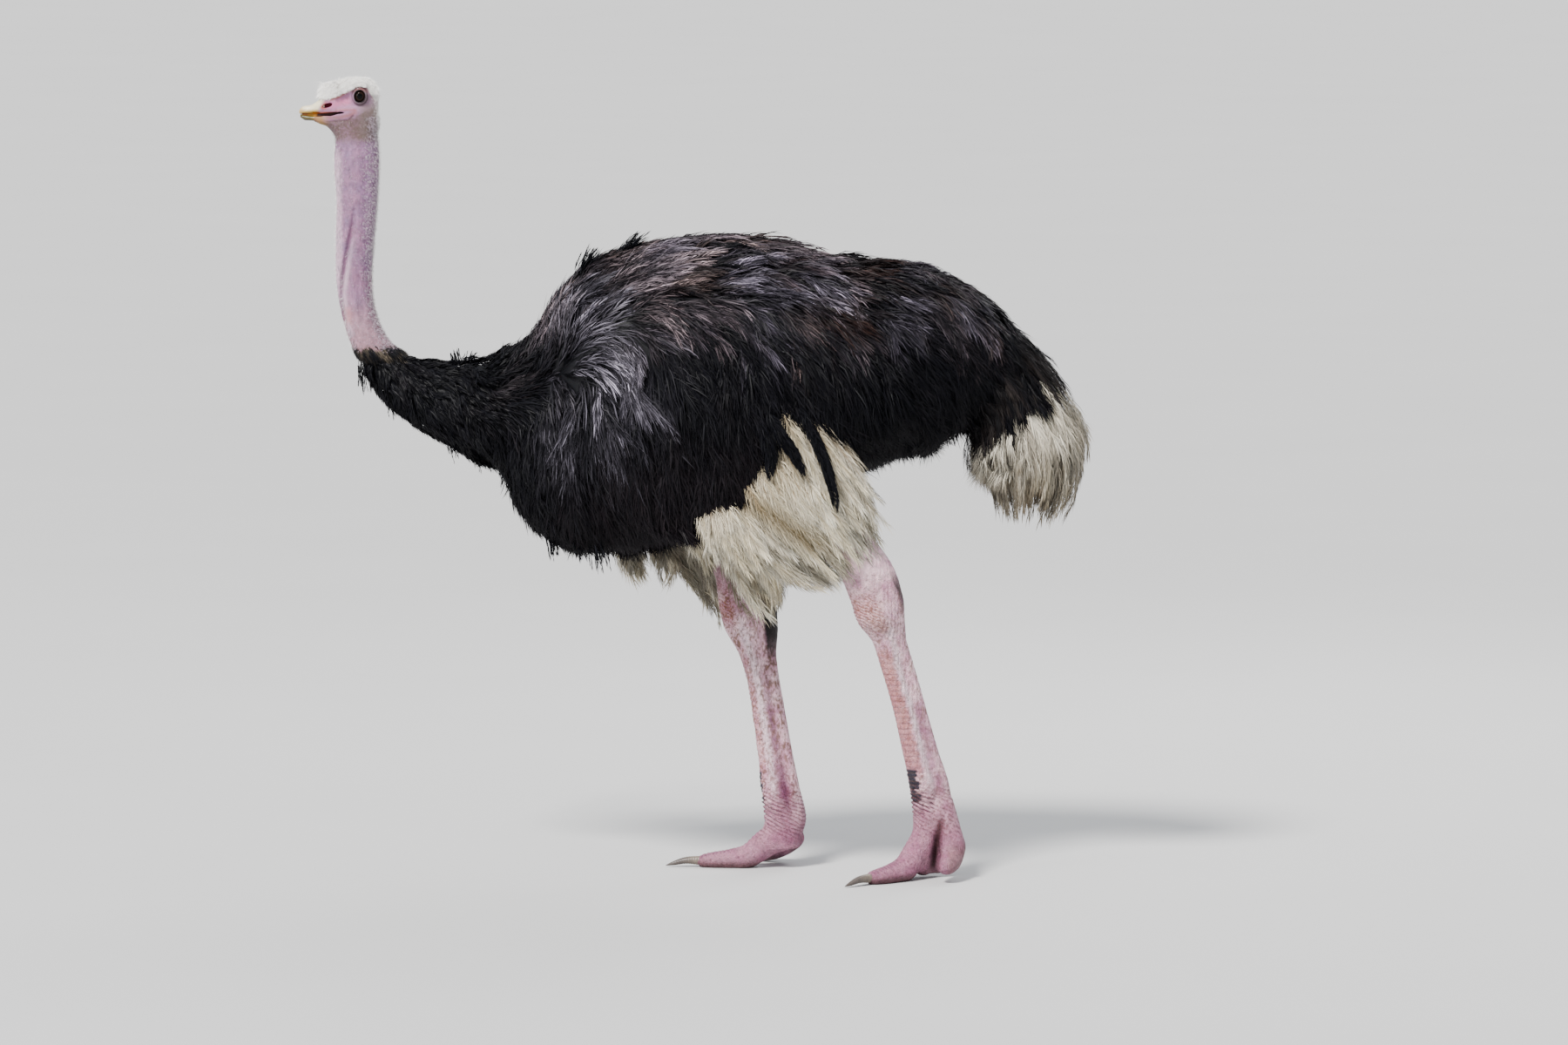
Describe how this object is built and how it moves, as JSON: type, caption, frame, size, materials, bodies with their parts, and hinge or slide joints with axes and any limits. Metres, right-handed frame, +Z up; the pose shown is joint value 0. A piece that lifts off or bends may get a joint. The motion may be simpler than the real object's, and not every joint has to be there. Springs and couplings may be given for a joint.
{
  "type": "standing ostrich model",
  "caption": "Life-size still model of an adult male ostrich in mid-stride, neck raised in a relaxed S, drooping black, white and beige plumes.",
  "frame": {"origin": "middle of the bounding box, on the floor", "axes": "+Z up, the bird faces -X, its left side is towards -Y"},
  "size_m": [1.7822, 0.5916, 1.8],
  "materials": {
    "skin": "matte bare skin",
    "down": "pale down over skin",
    "horn": "satin horn",
    "claw": "dull horn",
    "eyeball": "wet gloss",
    "black_plumage": "soft loose plumage",
    "white_plumage": "soft loose plumes"
  },
  "bodies": {
    "root": {"drumstick_left": "skin", "hock_left": "skin", "shank_left": "skin", "big_toe_left": "skin", "small_toe_left": "skin", "drumstick_right": "skin", "hock_right": "skin", "shank_right": "skin", "big_toe_right": "skin", "small_toe_right": "skin", "neck_upper": "skin", "neck_middle": "skin", "neck_lower": "skin", "head": "down", "bill_upper": "horn", "bill_lower": "horn", "claw_left": "claw", "claw_right": "claw", "eye_left": "eyeball", "eye_right": "eyeball", "neck_root": "black_plumage", "trunk": "black_plumage", "wing_left": "black_plumage", "wing_right": "black_plumage", "tail_coverts": "black_plumage", "tail_plumes": "white_plumage", "wing_plumes_left": "white_plumage", "wing_plumes_right": "white_plumage", "inner_plumes": "white_plumage"}
  },
  "joints": []
}
